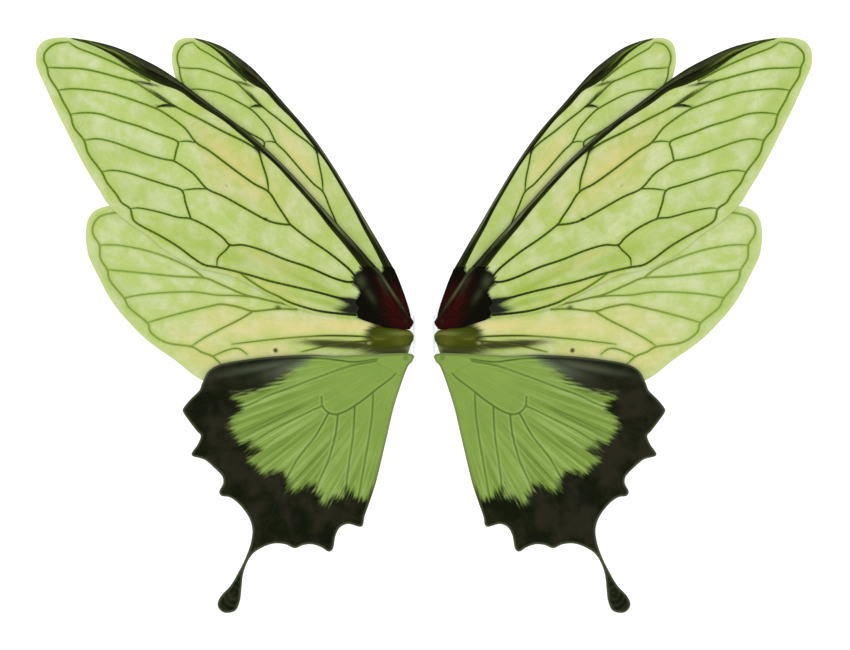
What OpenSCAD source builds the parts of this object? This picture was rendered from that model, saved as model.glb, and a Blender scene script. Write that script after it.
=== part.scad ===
// Fairy wings: four translucent wing blades a side, fanned on a folding root bracket.
// Right-hand pieces are drawn at +X and mirrored for the left. The wearer is on the +Y side.

/* [Back plate] */
// Width of the clear back plate
plate_w = 76; // [72:1:90]
// Height of the clear back plate
plate_h = 92; // [88:1:110]
// Thickness of the clear back plate
plate_t = 3; // [2.5:0.5:5]
// Radius of the four screw holes near the centre line
screw_hole_r = 2.1; // [1.6:0.1:2.6]
// Distance between the screw holes, side to side
screw_gap_x = 16; // [14:1:18]
// Distance between the screw holes, up and down
screw_gap_z = 74; // [72:1:78]
// Length of each strap slot
slot_len = 28; // [20:1:32]
// Width of each strap slot
slot_w = 5; // [4.5:0.5:6]

/* [Fold hinge] */
// Distance of each fold axis from the centre line
fold_x = 13; // [13:0.1:13.2]
// Outer radius of a hinge knuckle
knuckle_r = 2; // [1.8:0.1:2]
// Radius of a hinge pin
pin_r = 0.8; // [0.6:0.1:0.9]
// Running clearance around pins and rivets, on the radius
run_gap = 0.05; // [0.03:0.01:0.09]

/* [Blades] */
// Thickness of the clear films
film_t = 0.3; // [0.2:0.05:0.4]
// Thickness of spars and root plates
rib_t = 1; // [0.8:0.1:1.1]
// Thickness of the raised veins
vein_t = 0.5; // [0.3:0.1:0.7]
// Distance from one blade's back face to the next one's
layer_step = 2; // [2:0.1:2.1]
// Width of the rear forewing as a share of the front forewing
rear_share = 0.65; // [0.62:0.01:0.7]
// Radius of the root rivets that the blades turn on
rivet_r = 2; // [1.6:0.1:2.2]
// Radius of washers, spacers and push nuts
washer_r = 3.5; // [3.2:0.1:4]

/* [Hidden] */
$fn = 48;

// Depths: the wearer's face of the plate is y = 0 and the blades lie on the -Y side.
leaf_t = 1.5;
leaf_front = -plate_t - leaf_t;
fold_y = -plate_t - knuckle_r;
bracket_back = fold_y - 0.5;
bracket_front = fold_y - knuckle_r;
first_layer = bracket_front - 0.5;
function layer_back(layer) = first_layer - layer_step * (layer - 1);
function film_front(layer) = layer_back(layer) - film_t;
function blade_front(layer) = film_front(layer) - rib_t;
REAR = 1;
HIND = 2;
FRONT = 3;
TAIL = 4;
nut_t = 1.2;
nut_back = bracket_back + 0.1 + nut_t;
rivet_end = nut_back + 0.2;
rivet_head_r = rivet_r + 1.2;
rivet_head_t = 0.6;

// Pivots of the blades, as x and z.
FORE_PIVOT = [24, 18];
HIND_PIVOT = [24, -3];
TAIL_PIVOT = [24, -30];

// Hinge knuckles, as the heights where each begins and ends.
knuckle_gap = 0.2;
FIXED_KNUCKLES = [[-22, -13], [-2, 6], [17, 26]];
MOVING_KNUCKLES = [[-13, -2], [6, 17]];
leaf_inner_x = 2;
LEAF_SCREWS = [[6, -17.5], [6, 2], [6, 21.5]];

// Front forewing outline: up the leading edge, down the outer edge and back along the trailing edge.
FORE_LEADING = [[15, 20], [28, 38], [42, 60], [55, 80], [72.5, 100], [90, 120], [108.5, 140], [144.5, 180],
    [182, 220], [225, 260], [278, 300], [332, 340], [368, 360], [400, 374], [430, 382]];
FORE_OUTER = [[460, 386.5], [482, 386], [496, 381], [503, 371], [504.5, 358], [502, 345], [490, 318],
    [478, 292], [465, 266], [452, 240], [438, 214], [422, 188], [410, 169], [385, 147], [360, 130],
    [340, 113], [320, 100], [290, 86]];
FORE_TRAILING = [[255, 79], [235, 70], [210, 57], [190, 46], [175, 38], [140, 28], [110, 24], [80, 20],
    [60, 14], [40, 8.5], [26, 7.2], [17.5, 9.5], [13.8, 15]];
FORE_SPAR_LOWER = [[456, 384], [430, 376], [403, 362], [380, 346], [360, 334], [340, 325], [318, 317],
    [293, 299], [263, 280], [238, 260], [214, 240], [192, 220], [173.5, 200], [155.5, 180], [138.5, 160],
    [123, 140], [106, 120], [90, 100]];
FORE_ROOT = [[15, 20], [28, 38], [42, 60], [55, 80], [62.4, 88], [81, 88], [79, 85], [84, 80.5], [91, 77.5],
    [89, 71], [92, 67.5], [85, 62], [82.5, 54], [86, 47.5], [90, 42], [84, 36], [87, 28], [82, 20.5],
    [66, 15], [52, 10.5], [38, 8.5], [26, 7.2], [17.5, 9.5], [13.8, 15]];
spar_foot = 88.3;

// Forewing veins: width at the first point, width at the last point, then the points.
FORE_VEINS = [
    [2.4, 4.5, [[462, 381], [480, 378], [492, 368], [494, 358], [490, 348], [487, 335], [476, 318],
        [470, 305], [460, 287], [455, 270], [442, 253], [436, 235], [419, 212], [412, 198], [400, 183],
        [393, 172], [382, 164], [378, 150], [368, 142], [345, 130], [320, 115], [300, 100], [285, 91],
        [268, 88], [250, 84], [220, 76], [200, 70], [170, 63], [140, 56], [110, 48], [84, 42]]],
    [2, 3, [[462, 381], [450, 373], [429, 365], [405, 355], [380, 343], [356, 330]]],
    [2, 4, [[490, 348], [470, 347], [445, 346], [420, 341], [395, 334], [375, 328], [350, 312],
        [335, 303], [323, 297], [310, 290], [290, 280], [260, 264], [235, 252], [215, 240]]],
    [2, 4, [[476, 318], [460, 320], [440, 319], [410, 315], [380, 306], [350, 295], [340, 290],
        [325, 280], [310, 268], [296, 250], [280, 240], [260, 225], [240, 210], [220, 196], [202, 186],
        [190, 168], [178, 150], [173, 143], [150, 125], [125, 108], [100, 88], [90, 77]]],
    [4, 4, [[323, 297], [336, 299], [350, 295]]],
    [2, 3, [[460, 287], [440, 289], [420, 287], [400, 280], [370, 271], [350, 263], [335, 258],
        [320, 251], [322, 240], [325, 226]]],
    [2, 2, [[296, 250], [308, 252], [320, 251]]],
    [2, 3.5, [[442, 253], [425, 255], [405, 251], [380, 242], [355, 233], [335, 228], [325, 226],
        [310, 217], [298, 208], [282, 190], [260, 180], [235, 166], [206, 150], [190, 145], [173, 143]]],
    [2, 3, [[419, 212], [405, 214], [385, 211], [360, 203], [335, 195], [315, 188], [310, 172],
        [303, 151]]],
    [2, 2, [[282, 190], [298, 190], [315, 188]]],
    [2, 4.5, [[382, 164], [370, 165], [345, 160], [320, 153], [303, 151], [280, 140], [262, 127],
        [252, 117], [235, 117], [210, 110], [180, 98], [150, 88], [120, 75], [100, 69], [88, 70]]],
    [2.5, 2, [[252, 117], [258, 110], [268, 100], [269, 88]]],
    [3, 2.5, [[215, 240], [210, 222], [204, 203], [202, 186]]],
    [1.8, 6, [[240, 81], [222, 68], [205, 57.5], [188, 49.5], [172, 41.5], [140, 32], [112, 28], [88, 26]]]
];

// Hindwing outline, root and veins. Below its pivot the outline keeps within 23 mm of the pivot, so that it
// swings clear of the tail wing's spacer.
HIND_OUTLINE = [[14, 1], [20, 6.5], [34, 10], [60, 20], [100, 42], [150, 70], [200, 97], [245, 122],
    [262, 133], [300, 149], [350, 153], [385, 159], [405, 168], [426, 163], [437, 150], [440, 130],
    [438, 110], [434, 97], [421, 71], [407, 45], [387, 20], [360, -7], [325, -32], [290, -58], [250, -68],
    [200, -62], [130, -45], [60, -33.5], [40, -29.5], [36, -25], [33, -23.5], [24, -25.4], [21, -24.8],
    [18.5, -17], [16, -10], [13.6, -5]];
HIND_ROOT = [[14, 1], [20, 6.5], [34, 9.5], [50, 10.5], [62, 10], [70, 5], [64, 1], [72, -2], [66, -6],
    [76, -11], [62, -15.5], [45, -16.5], [34, -14.5], [24, -13.5], [16, -10], [13.6, -5]];
HIND_VEINS = [
    [2.4, 2.4, [[395, 160], [420, 155], [430, 143], [430, 130], [422, 117], [421, 100], [412, 85],
        [408, 70], [390, 48], [383, 35], [360, 16], [355, 3], [335, -10], [303, -15], [290, -22],
        [275, -28], [262, -40]]],
    [2, 2.5, [[422, 117], [400, 117], [370, 112], [345, 105], [320, 95], [300, 85], [287, 75]]],
    [2, 4, [[412, 85], [380, 82], [350, 79], [320, 76], [285, 74], [265, 66], [235, 53], [215, 48],
        [190, 42], [165, 37], [148, 31]]],
    [2, 2, [[390, 48], [370, 52], [340, 55], [300, 56], [270, 52], [240, 51], [215, 48]]],
    [2, 3.5, [[360, 16], [340, 22], [310, 30], [280, 37], [263, 40], [240, 36], [222, 31], [190, 34],
        [165, 33]]],
    [2, 2.5, [[303, -15], [285, -3], [260, 10], [240, 20], [222, 31]]],
    [2, 2, [[275, -28], [262, -22], [250, -18], [240, -18], [230, -25]]],
    [1.6, 3, [[250, -12], [190, -5], [130, -1], [74, -2]]],
    [2.5, 4, [[160, -22], [120, -13], [90, -9], [70, -8]]]
];

// Tail wing outline, root and veins.
TAIL_OUTLINE = [[14.2, -25.6], [26, -23.6], [40, -23.8], [85, -26], [115, -27], [150, -25.5], [200, -28],
    [240, -33], [265, -38], [280, -47], [288, -62], [292, -72], [303, -83], [312, -94], [313, -100],
    [305, -112], [295, -125], [290, -131], [294, -142], [302, -156], [285, -162], [270, -175],
    [262, -184], [261, -193], [266, -203], [263, -209], [252, -211], [240, -220], [228, -236],
    [223, -252], [225, -270], [232, -290], [241, -308], [251, -325], [263, -338], [268, -348],
    [266, -356], [258, -361], [245, -358], [239, -345], [237, -328], [235, -311], [230, -296],
    [222, -284], [210, -276], [195, -271], [180, -272], [168, -277], [157, -273], [145, -272],
    [133, -276], [124, -281.5], [118, -277], [115, -261], [109, -250], [98, -245.5], [81, -249],
    [77, -235], [70, -215], [62, -190], [50, -140], [40, -97], [30, -65], [21, -41], [15, -34]];
TAIL_ROOT = [[14.2, -26.2], [40, -26], [58, -28.5], [64, -33], [58, -39], [47, -44], [38, -51], [30, -52],
    [22.5, -42], [16, -34]];
TAIL_VEINS = [
    [4, 1.5, [[60, -31], [90, -35], [110, -33], [140, -30], [190, -32], [240, -38]]],
    [2, 1.2, [[62, -34], [95, -40], [130, -52], [165, -65], [200, -78], [232, -93]]],
    [4, 3, [[36, -49], [45, -58], [60, -69], [80, -85], [100, -98], [115, -103], [125, -100], [132, -92],
        [133, -80]]],
    [2.4, 1.2, [[133, -92], [160, -105], [200, -125], [235, -148]]],
    [2.4, 1.2, [[124, -101], [140, -130], [160, -155], [175, -180], [195, -225], [208, -262]]],
    [2.4, 1.2, [[112, -103], [115, -130], [125, -165], [140, -200], [150, -250]]],
    [2, 1.2, [[90, -92], [92, -130], [98, -170], [104, -225]]],
    [2, 1.2, [[66, -76], [68, -110], [76, -160], [86, -215]]]
];

// A smooth curve through points, n steps between neighbours (Catmull-Rom).
function knot(a, b, c, d, t) = 0.5 * (2 * b + (c - a) * t + (2 * a - 5 * b + 4 * c - d) * t * t
    + (3 * b - a - 3 * c + d) * t * t * t);
function open_curve(p, n) = let (m = len(p) - 1) [
    for (i = [0:m - 1]) for (k = [0:n - 1])
        knot(p[max(i - 1, 0)], p[i], p[i + 1], p[min(i + 2, m)], k / n),
    p[m]
];
function closed_curve(p, n) = let (m = len(p)) [
    for (i = [0:m - 1]) for (k = [0:n - 1])
        knot(p[(i + m - 1) % m], p[i], p[(i + 1) % m], p[(i + 2) % m], k / n)
];

// A tapered ribbon along a curve.
function side_step(p, i) = let (d = p[min(i + 1, len(p) - 1)] - p[max(i - 1, 0)]) [-d.y, d.x] / norm(d);
function half_width(p, i, w0, w1) = (w0 + (w1 - w0) * i / (len(p) - 1)) / 2;
function ribbon(p, w0, w1) = concat(
    [for (i = [0:len(p) - 1]) p[i] + side_step(p, i) * half_width(p, i, w0, w1)],
    [for (i = [len(p) - 1:-1:0]) p[i] - side_step(p, i) * half_width(p, i, w0, w1)]
);

// The rear forewing is the front one drawn narrower. Close to the pivot it keeps the front one's width, so
// that its root can turn without crossing the fold axis.
root_width = 17;
root_blend = 12;
function rear_x(x, share) = share * x + (1 - share) * root_width * exp((root_width - x) / root_blend);
function narrowed(p, share) = [for (q = p) [share == 1 ? q.x : rear_x(q.x, share), q.y]];

// Turns a drawing in x and z into a slab from y = front to y = back.
module slab(front, back) {
    translate([0, back, 0]) rotate([90, 0, 0]) linear_extrude(back - front) children();
}

// A round piece along Y at a pivot.
module disc(pivot, r, front, back) {
    slab(front, back) translate(pivot) circle(r);
}

module washer(pivot, front, back, bore_r) {
    slab(front, back) difference() {
        translate(pivot) circle(washer_r);
        translate(pivot) circle(bore_r);
    }
}

// Veins swell a little where they meet, and stop short of the film's edge and of the ribs given as
// children.
vein_swell = 0.15;
vein_edge_gap = 0.6;
vein_rib_gap = 0.3;
module vein_network(veins, share, outline) {
    offset(delta = vein_swell) difference() {
        intersection() {
            union() {
                for (v = veins) polygon(ribbon(narrowed(open_curve(v[2], 2), share), v[0], v[1]));
            }
            offset(delta = -vein_edge_gap) polygon(outline);
        }
        offset(delta = vein_rib_gap) children();
    }
}

module blade_film(layer, outline, pivot) {
    slab(film_front(layer), layer_back(layer)) difference() {
        polygon(outline);
        translate(pivot) circle(rivet_r + run_gap);
    }
}

module root_plate(layer, outline, pivot) {
    slab(blade_front(layer), film_front(layer)) difference() {
        polygon(outline);
        translate(pivot) circle(rivet_r + run_gap);
    }
}

// Forewings
function fore_outline(share) = narrowed(
    closed_curve(concat(FORE_LEADING, FORE_OUTER, FORE_TRAILING), 2), share);
function fore_root(share) = narrowed(FORE_ROOT, share);
function spar_outline(share) = let (
    upper = [for (q = open_curve(FORE_LEADING, 2)) if (q.y > spar_foot) q],
    tip = [FORE_OUTER[0]],
    lower = open_curve(FORE_SPAR_LOWER, 2)
) narrowed(concat([[62.6, spar_foot]], upper, tip, lower, [[81.4, spar_foot]]), share);

module forewing_film(layer, share) {
    color([0.78, 0.83, 0.55, 0.55]) blade_film(layer, fore_outline(share), FORE_PIVOT);
}

module forewing_spar(layer, share) {
    color([0.15, 0.17, 0.08]) slab(blade_front(layer), film_front(layer)) polygon(spar_outline(share));
}

module forewing_veins(layer, share) {
    color([0.36, 0.42, 0.18]) slab(film_front(layer) - vein_t, film_front(layer))
        vein_network(FORE_VEINS, share, fore_outline(share)) {
            polygon(fore_root(share));
            polygon(spar_outline(share));
        }
}

module rear_forewing_film() {
    forewing_film(REAR, rear_share);
}

module rear_forewing_spar() {
    forewing_spar(REAR, rear_share);
}

module rear_forewing_veins() {
    forewing_veins(REAR, rear_share);
}

module rear_forewing_root() {
    color([0.2, 0.06, 0.04]) root_plate(REAR, fore_root(rear_share), FORE_PIVOT);
}

module front_forewing_film() {
    forewing_film(FRONT, 1);
}

module front_forewing_spar() {
    forewing_spar(FRONT, 1);
}

module front_forewing_veins() {
    forewing_veins(FRONT, 1);
}

module front_forewing_root() {
    color([0.2, 0.06, 0.04]) root_plate(FRONT, fore_root(1), FORE_PIVOT);
}

// Hindwing
module hindwing_film() {
    color([0.8, 0.84, 0.58, 0.55]) blade_film(HIND, closed_curve(HIND_OUTLINE, 2), HIND_PIVOT);
}

module hindwing_veins() {
    color([0.45, 0.52, 0.22]) slab(film_front(HIND) - vein_t, film_front(HIND))
        vein_network(HIND_VEINS, 1, closed_curve(HIND_OUTLINE, 2)) polygon(HIND_ROOT);
}

module hindwing_root() {
    color([0.26, 0.3, 0.06]) root_plate(HIND, HIND_ROOT, HIND_PIVOT);
}

// Tail wing
module tail_wing_panel() {
    color([0.35, 0.48, 0.2]) blade_film(TAIL, closed_curve(TAIL_OUTLINE, 2), TAIL_PIVOT);
}

module tail_wing_veins() {
    color([0.1, 0.13, 0.06]) slab(film_front(TAIL) - vein_t, film_front(TAIL))
        vein_network(TAIL_VEINS, 1, closed_curve(TAIL_OUTLINE, 2)) polygon(TAIL_ROOT);
}

module tail_wing_root() {
    color([0.35, 0.48, 0.2]) root_plate(TAIL, TAIL_ROOT, TAIL_PIVOT);
}

// Rivets, washers, spacers and push nuts. They stay with the bracket, and the blades turn on the rivets.
module rivet(pivot, layer) {
    head_back = blade_front(layer);
    edge_t = rivet_head_t / 3;
    crown = [rivet_head_r * 0.75, rivet_head_t * 0.85];
    disc(pivot, rivet_r, head_back - edge_t / 2, rivet_end);
    translate([pivot.x, head_back, pivot.y]) rotate([90, 0, 0]) rotate_extrude()
        polygon([[0, 0], [rivet_head_r, 0], [rivet_head_r, edge_t], crown, [0, rivet_head_t]]);
}

module push_nut(pivot) {
    color("silver") washer(pivot, nut_back - nut_t, nut_back, rivet_r);
}

module spacer(pivot, front, back) {
    color([0.12, 0.12, 0.12]) washer(pivot, front, back, rivet_r + run_gap);
}

module fore_rivet() {
    color([0.12, 0.05, 0.04]) rivet(FORE_PIVOT, FRONT);
}

module hind_rivet() {
    color([0.26, 0.3, 0.06]) rivet(HIND_PIVOT, HIND);
}

module tail_rivet() {
    color([0.35, 0.48, 0.2]) rivet(TAIL_PIVOT, TAIL);
}

module rear_forewing_washer() {
    spacer(FORE_PIVOT, layer_back(REAR), bracket_front);
}

module front_forewing_washer() {
    spacer(FORE_PIVOT, layer_back(FRONT), blade_front(REAR));
}

module hindwing_spacer() {
    spacer(HIND_PIVOT, layer_back(HIND), bracket_front);
}

module tail_wing_spacer() {
    spacer(TAIL_PIVOT, layer_back(TAIL), bracket_front);
}

module fore_push_nut() {
    push_nut(FORE_PIVOT);
}

module hind_push_nut() {
    push_nut(HIND_PIVOT);
}

module tail_push_nut() {
    push_nut(TAIL_PIVOT);
}

// Fold hinge
module knuckles(spans, bore_r) {
    for (s = spans) translate([fold_x, fold_y, s[0] + knuckle_gap / 2]) difference() {
        cylinder(r = knuckle_r, h = s[1] - s[0] - knuckle_gap);
        translate([0, 0, -1]) cylinder(r = bore_r, h = s[1] - s[0] + 2);
    }
}

module root_bracket() {
    edge_x = fold_x + knuckle_r + 0.3;
    color([0.9, 0.95, 0.97, 0.35]) {
        slab(bracket_front, bracket_back) difference() {
            polygon([[edge_x, -37], [edge_x, 27], [20, 34], [29, 45], [40, 45], [44, 30], [44, 8],
                [40, -10], [38, -30], [32, -40], [20, -40]]);
            for (p = [FORE_PIVOT, HIND_PIVOT, TAIL_PIVOT]) translate(p) circle(rivet_r + run_gap);
        }
        for (s = MOVING_KNUCKLES) difference() {
            translate([fold_x, bracket_front, s[0] + knuckle_gap / 2])
                cube([edge_x - fold_x + 0.5, bracket_back - bracket_front, s[1] - s[0] - knuckle_gap]);
            translate([fold_x, fold_y, s[0]]) cylinder(r = pin_r + run_gap, h = s[1] - s[0]);
        }
        knuckles(MOVING_KNUCKLES, pin_r + run_gap);
    }
}

module fixed_hinge_leaf() {
    bottom = FIXED_KNUCKLES[0][0] + knuckle_gap / 2;
    top = FIXED_KNUCKLES[2][1] - knuckle_gap / 2;
    clear_r = knuckle_r + 0.4;
    color([0.85, 0.9, 0.92, 0.4]) {
        difference() {
            translate([leaf_inner_x, leaf_front, bottom])
                cube([fold_x - leaf_inner_x, leaf_t, top - bottom]);
            for (s = MOVING_KNUCKLES) translate([fold_x, fold_y, s[0] - knuckle_gap / 2])
                cylinder(r = clear_r, h = s[1] - s[0] + knuckle_gap);
            for (s = FIXED_KNUCKLES) translate([fold_x, fold_y, s[0]]) cylinder(r = pin_r, h = s[1] - s[0]);
            for (p = LEAF_SCREWS) translate([p.x, leaf_front - 1, p.y]) rotate([-90, 0, 0])
                cylinder(r = leaf_screw_r, h = leaf_t + 2);
        }
        knuckles(FIXED_KNUCKLES, pin_r);
    }
}

module hinge_pin() {
    bottom = FIXED_KNUCKLES[0][0];
    top = FIXED_KNUCKLES[2][1];
    head_r = pin_r + 0.7;
    head_t = 0.8;
    color([0.8, 0.84, 0.86]) {
        translate([fold_x, fold_y, bottom]) cylinder(r = pin_r, h = top - bottom);
        translate([fold_x, fold_y, top]) cylinder(r = head_r, h = head_t);
        translate([fold_x, fold_y, bottom - head_t]) cylinder(r = head_r, h = head_t);
    }
}

// Back plate
leaf_screw_r = 1.1;
leaf_screw_tip = -0.8;
leaf_screw_head_r = 1.9;
leaf_screw_head_t = 0.6;
plate_corner = 12;
slot_x = 34;
slot_z = 24;

module hinge_screws() {
    for (side = [-1, 1]) for (p = LEAF_SCREWS) color([0.8, 0.84, 0.86]) {
        disc([side * p.x, p.y], leaf_screw_r, leaf_front - leaf_screw_head_t / 2, leaf_screw_tip);
        disc([side * p.x, p.y], leaf_screw_head_r, leaf_front - leaf_screw_head_t, leaf_front);
    }
}

module rounded_rectangle(w, h, r) {
    for (x = [-1, 1]) for (z = [-1, 1]) translate([x * (w / 2 - r), z * (h / 2 - r)]) circle(r);
    square([w - 2 * r, h], center = true);
    square([w, h - 2 * r], center = true);
}

module back_plate() {
    color([0.9, 0.95, 0.97, 0.35]) difference() {
        slab(-plate_t, 0) difference() {
            rounded_rectangle(plate_w, plate_h, plate_corner);
            for (x = [-1, 1]) for (z = [-1, 1]) {
                translate([x * slot_x, z * slot_z]) rounded_rectangle(slot_w, slot_len, slot_w / 2 - 0.01);
                translate([x * screw_gap_x / 2, z * screw_gap_z / 2]) circle(screw_hole_r);
            }
        }
        for (x = [-1, 1]) for (p = LEAF_SCREWS)
            disc([x * p.x, p.y], leaf_screw_r, -plate_t - 1, leaf_screw_tip);
    }
}

module left() {
    mirror([1, 0, 0]) children();
}

back_plate();
hinge_screws();
left() fixed_hinge_leaf();  // left_fixed_hinge_leaf
left() hinge_pin();  // left_hinge_pin
left() root_bracket();  // left_root_bracket
left() fore_rivet();  // left_fore_rivet
left() hind_rivet();  // left_hind_rivet
left() tail_rivet();  // left_tail_rivet
left() rear_forewing_washer();  // left_rear_forewing_washer
left() front_forewing_washer();  // left_front_forewing_washer
left() hindwing_spacer();  // left_hindwing_spacer
left() tail_wing_spacer();  // left_tail_wing_spacer
left() fore_push_nut();  // left_fore_push_nut
left() hind_push_nut();  // left_hind_push_nut
left() tail_push_nut();  // left_tail_push_nut
left() rear_forewing_film();  // left_rear_forewing_film
left() rear_forewing_spar();  // left_rear_forewing_spar
left() rear_forewing_veins();  // left_rear_forewing_veins
left() rear_forewing_root();  // left_rear_forewing_root
left() front_forewing_film();  // left_front_forewing_film
left() front_forewing_spar();  // left_front_forewing_spar
left() front_forewing_veins();  // left_front_forewing_veins
left() front_forewing_root();  // left_front_forewing_root
left() hindwing_film();  // left_hindwing_film
left() hindwing_veins();  // left_hindwing_veins
left() hindwing_root();  // left_hindwing_root
left() tail_wing_panel();  // left_tail_wing_panel
left() tail_wing_veins();  // left_tail_wing_veins
left() tail_wing_root();  // left_tail_wing_root
fixed_hinge_leaf();  // right_fixed_hinge_leaf
hinge_pin();  // right_hinge_pin
root_bracket();  // right_root_bracket
fore_rivet();  // right_fore_rivet
hind_rivet();  // right_hind_rivet
tail_rivet();  // right_tail_rivet
rear_forewing_washer();  // right_rear_forewing_washer
front_forewing_washer();  // right_front_forewing_washer
hindwing_spacer();  // right_hindwing_spacer
tail_wing_spacer();  // right_tail_wing_spacer
fore_push_nut();  // right_fore_push_nut
hind_push_nut();  // right_hind_push_nut
tail_push_nut();  // right_tail_push_nut
rear_forewing_film();  // right_rear_forewing_film
rear_forewing_spar();  // right_rear_forewing_spar
rear_forewing_veins();  // right_rear_forewing_veins
rear_forewing_root();  // right_rear_forewing_root
front_forewing_film();  // right_front_forewing_film
front_forewing_spar();  // right_front_forewing_spar
front_forewing_veins();  // right_front_forewing_veins
front_forewing_root();  // right_front_forewing_root
hindwing_film();  // right_hindwing_film
hindwing_veins();  // right_hindwing_veins
hindwing_root();  // right_hindwing_root
tail_wing_panel();  // right_tail_wing_panel
tail_wing_veins();  // right_tail_wing_veins
tail_wing_root();  // right_tail_wing_root
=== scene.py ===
import math

import bmesh
import bpy
import numpy as np
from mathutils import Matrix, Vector
from mathutils.geometry import delaunay_2d_cdt


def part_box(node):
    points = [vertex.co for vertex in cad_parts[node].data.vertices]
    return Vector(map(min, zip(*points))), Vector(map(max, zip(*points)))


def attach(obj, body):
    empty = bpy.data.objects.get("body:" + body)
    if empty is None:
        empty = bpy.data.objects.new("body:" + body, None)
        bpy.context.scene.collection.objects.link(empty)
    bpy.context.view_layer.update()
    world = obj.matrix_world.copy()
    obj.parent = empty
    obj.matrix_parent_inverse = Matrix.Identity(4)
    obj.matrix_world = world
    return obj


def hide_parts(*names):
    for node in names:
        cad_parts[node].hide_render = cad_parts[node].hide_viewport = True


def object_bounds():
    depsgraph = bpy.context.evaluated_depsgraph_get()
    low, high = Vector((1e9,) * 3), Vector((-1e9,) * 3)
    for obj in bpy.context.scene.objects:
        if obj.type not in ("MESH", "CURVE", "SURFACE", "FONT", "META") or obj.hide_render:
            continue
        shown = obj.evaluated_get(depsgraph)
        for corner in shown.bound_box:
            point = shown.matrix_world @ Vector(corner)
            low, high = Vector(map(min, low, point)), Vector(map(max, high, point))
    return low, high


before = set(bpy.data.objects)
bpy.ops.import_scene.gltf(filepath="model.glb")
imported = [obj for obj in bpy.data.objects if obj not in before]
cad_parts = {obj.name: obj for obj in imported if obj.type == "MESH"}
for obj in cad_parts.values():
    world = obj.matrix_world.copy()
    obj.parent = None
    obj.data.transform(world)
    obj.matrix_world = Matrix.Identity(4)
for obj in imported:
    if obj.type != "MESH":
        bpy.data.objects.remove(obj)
cad_box = [list(corner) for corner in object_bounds()]

# ------------------------------ the wing's drawing, in mm (x outwards, z up)

MM = 0.001
SIDES = {"left": -1, "right": 1}
BLADES = ("rear_forewing", "front_forewing", "hindwing", "tail_wing")
# The radius of the holes that the rivets go through.
HOLE_R = 2.05
# The rear forewing is the front one narrowed to this share, but not at its root, which keeps its width.
REAR_SHARE = 0.65
ROOT_WIDTH, ROOT_BLEND = 17, 12
FORE_PIVOT, HIND_PIVOT, TAIL_PIVOT = (24, 18), (24, -3), (24, -30)

FORE_LEADING = [(15, 20), (28, 38), (42, 60), (55, 80), (72.5, 100), (90, 120), (108.5, 140), (144.5, 180),
                (182, 220), (225, 260), (278, 300), (332, 340), (368, 360), (400, 374), (430, 382)]
FORE_OUTER = [(460, 386.5), (482, 386), (496, 381), (503, 371), (504.5, 358), (502, 345), (490, 318),
              (478, 292), (465, 266), (452, 240), (438, 214), (422, 188), (410, 169), (385, 147),
              (360, 130), (340, 113), (320, 100), (290, 86)]
FORE_TRAILING = [(255, 79), (235, 70), (210, 57), (190, 46), (175, 38), (140, 28), (110, 24), (80, 20),
                 (60, 14), (40, 8.5), (26, 7.2), (17.5, 9.5), (13.8, 15)]
FORE_SPAR_LOWER = [(456, 384), (430, 376), (403, 362), (380, 346), (360, 334), (340, 325), (318, 317),
                   (293, 299), (263, 280), (238, 260), (214, 240), (192, 220), (173.5, 200), (155.5, 180),
                   (138.5, 160), (123, 140), (106, 120), (90, 100)]
FORE_ROOT = [(15, 20), (28, 38), (42, 60), (55, 80), (62.4, 88), (81, 88), (79, 85), (84, 80.5), (91, 77.5),
             (89, 71), (92, 67.5), (85, 62), (82.5, 54), (86, 47.5), (90, 42), (84, 36), (87, 28),
             (82, 20.5), (66, 15), (52, 10.5), (38, 8.5), (26, 7.2), (17.5, 9.5), (13.8, 15)]
# The corners of the spar's square lower end, at its leading and its lower side.
SPAR_FOOT = [(62.6, 88.3), (81.4, 88.3)]
# Where the distance along the spar is counted from.
SPAR_START = (75, 95)

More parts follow.
